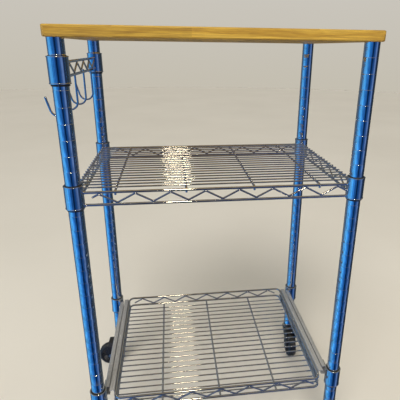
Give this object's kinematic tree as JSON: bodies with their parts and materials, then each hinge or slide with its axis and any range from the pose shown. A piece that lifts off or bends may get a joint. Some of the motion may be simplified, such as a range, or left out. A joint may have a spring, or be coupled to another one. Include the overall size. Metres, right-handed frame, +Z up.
{
  "type": "wire shelf cart",
  "caption": "Rolling wire shelf cart with grooved tube posts, a wooden top, a side hook rail, a fixed wire shelf, a pull-out wire tray and swivel casters.",
  "frame": {"origin": "on the floor, at the middle of the cart's footprint", "axes": "+Z up; +X to the right seen from the front; -Y is the front, where the tray pulls out; the hook rail is on the -X side"},
  "size_m": [0.6116, 0.3582, 0.885],
  "materials": {
    "wood": "clear satin lacquer over light hardwood",
    "chrome_tube": "bright chrome",
    "chrome_collar": "bright chrome",
    "chrome_wire": "bright chrome",
    "black_plastic": "moulded, fine texture",
    "zinc_steel": "zinc plated sheet",
    "bolt_steel": "plated",
    "white_plastic": "moulded nylon",
    "black_enamel": "semi-gloss stove enamel over pressed steel",
    "wheel_black": "moulded, lightly scuffed tread"
  },
  "bodies": {
    "cart": {"wood_top": "wood", "top_plugs": "black_plastic", "top_studs": "bolt_steel", "post_connectors": "bolt_steel", "post_upper_fl": "chrome_tube", "post_upper_fr": "chrome_tube", "post_upper_bl": "chrome_tube", "post_upper_br": "chrome_tube", "post_lower_fl": "chrome_tube", "post_lower_fr": "chrome_tube", "post_lower_bl": "chrome_tube", "post_lower_br": "chrome_tube", "shelf_collars": "chrome_collar", "shelf_sleeves": "black_plastic", "shelf_rim_wires": "chrome_wire", "shelf_base_wires": "chrome_wire", "shelf_zigzag_wires": "chrome_wire", "shelf_deck_wires": "chrome_wire", "shelf_cross_wires": "chrome_wire", "hook_rail_collars": "chrome_collar", "hook_rail_sleeves": "black_plastic", "hook_rail_upper_wire": "chrome_wire", "hook_rail_lower_wire": "chrome_wire", "hook_rail_zigzag": "chrome_wire", "hooks": "chrome_wire", "slide_collars": "chrome_collar", "slide_sleeves": "black_plastic", "slide_rivets": "zinc_steel", "outer_rail_left": "zinc_steel", "outer_rail_right": "zinc_steel", "fixed_roller_pins": "zinc_steel", "caster_sockets": "black_plastic", "caster_stems": "bolt_steel"},
    "tray": {"inner_rail_left": "zinc_steel", "inner_rail_right": "zinc_steel", "moving_roller_pins": "zinc_steel", "tray_rim_wire": "chrome_wire", "tray_base_wire": "chrome_wire", "tray_zigzag_wires": "chrome_wire", "tray_deck_wires": "chrome_wire", "tray_cross_wires": "chrome_wire"},
    "fixed_roller_left": {"fixed_roller_left": "white_plastic"},
    "moving_roller_left": {"moving_roller_left": "white_plastic"},
    "fixed_roller_right": {"fixed_roller_right": "white_plastic"},
    "moving_roller_right": {"moving_roller_right": "white_plastic"},
    "caster_fl": {"caster_fork_fl": "black_enamel", "caster_axle_fl": "bolt_steel"},
    "wheel_fl": {"caster_wheel_fl": "wheel_black"},
    "caster_fr": {"caster_fork_fr": "black_enamel", "caster_axle_fr": "bolt_steel"},
    "wheel_fr": {"caster_wheel_fr": "wheel_black"},
    "caster_bl": {"caster_fork_bl": "black_enamel", "caster_axle_bl": "bolt_steel"},
    "wheel_bl": {"caster_wheel_bl": "wheel_black"},
    "caster_br": {"caster_fork_br": "black_enamel", "caster_axle_br": "bolt_steel"},
    "wheel_br": {"caster_wheel_br": "wheel_black"},
    "brake_fl": {"brake_pedal_fl": "black_plastic"},
    "brake_fr": {"brake_pedal_fr": "black_plastic"}
  },
  "joints": [
    {"name": "tray_slide", "type": "slide", "parent": "cart", "child": "tray", "axis": [0, -1, 0], "range_m": [0, 0.25]},
    {"name": "fixed_roller_left_spin", "type": "hinge", "parent": "cart", "child": "fixed_roller_left", "pos_m": [-0.2198, -0.138, 0.19625], "axis": [1, 0, 0], "continuous": true},
    {"name": "moving_roller_left_spin", "type": "hinge", "parent": "tray", "child": "moving_roller_left", "pos_m": [-0.2289, 0.138, 0.19625], "axis": [1, 0, 0], "continuous": true},
    {"name": "fixed_roller_right_spin", "type": "hinge", "parent": "cart", "child": "fixed_roller_right", "pos_m": [0.2198, -0.138, 0.19625], "axis": [1, 0, 0], "continuous": true},
    {"name": "moving_roller_right_spin", "type": "hinge", "parent": "tray", "child": "moving_roller_right", "pos_m": [0.2289, 0.138, 0.19625], "axis": [1, 0, 0], "continuous": true},
    {"name": "caster_fl_swivel", "type": "hinge", "parent": "cart", "child": "caster_fl", "pos_m": [-0.244, -0.163, 0.075], "axis": [0, 0, 1], "continuous": true},
    {"name": "wheel_fl_spin", "type": "hinge", "parent": "caster_fl", "child": "wheel_fl", "pos_m": [-0.274, -0.163, 0.03175], "axis": [0, 1, 0], "continuous": true},
    {"name": "caster_fr_swivel", "type": "hinge", "parent": "cart", "child": "caster_fr", "pos_m": [0.244, -0.163, 0.075], "axis": [0, 0, 1], "continuous": true},
    {"name": "wheel_fr_spin", "type": "hinge", "parent": "caster_fr", "child": "wheel_fr", "pos_m": [0.274, -0.163, 0.03175], "axis": [0, 1, 0], "continuous": true},
    {"name": "caster_bl_swivel", "type": "hinge", "parent": "cart", "child": "caster_bl", "pos_m": [-0.244, 0.163, 0.075], "axis": [0, 0, 1], "continuous": true},
    {"name": "wheel_bl_spin", "type": "hinge", "parent": "caster_bl", "child": "wheel_bl", "pos_m": [-0.274, 0.163, 0.03175], "axis": [0, 1, 0], "continuous": true},
    {"name": "caster_br_swivel", "type": "hinge", "parent": "cart", "child": "caster_br", "pos_m": [0.244, 0.163, 0.075], "axis": [0, 0, 1], "continuous": true},
    {"name": "wheel_br_spin", "type": "hinge", "parent": "caster_br", "child": "wheel_br", "pos_m": [0.244, 0.133, 0.03175], "axis": [1, 0, 0], "continuous": true},
    {"name": "brake_fl_press", "type": "hinge", "parent": "caster_fl", "child": "brake_fl", "pos_m": [-0.27, -0.163, 0.07], "axis": [0, -1, 0], "range_deg": [0, 10]},
    {"name": "brake_fr_press", "type": "hinge", "parent": "caster_fr", "child": "brake_fr", "pos_m": [0.27, -0.163, 0.07], "axis": [0, 1, 0], "range_deg": [0, 10]}
  ],
  "couplings": [
    {"joint": "fixed_roller_left_spin", "follows": "tray_slide", "rad_per_m": 117.65},
    {"joint": "moving_roller_left_spin", "follows": "tray_slide", "rad_per_m": 111.11},
    {"joint": "fixed_roller_right_spin", "follows": "tray_slide", "rad_per_m": 117.65},
    {"joint": "moving_roller_right_spin", "follows": "tray_slide", "rad_per_m": 111.11}
  ]
}
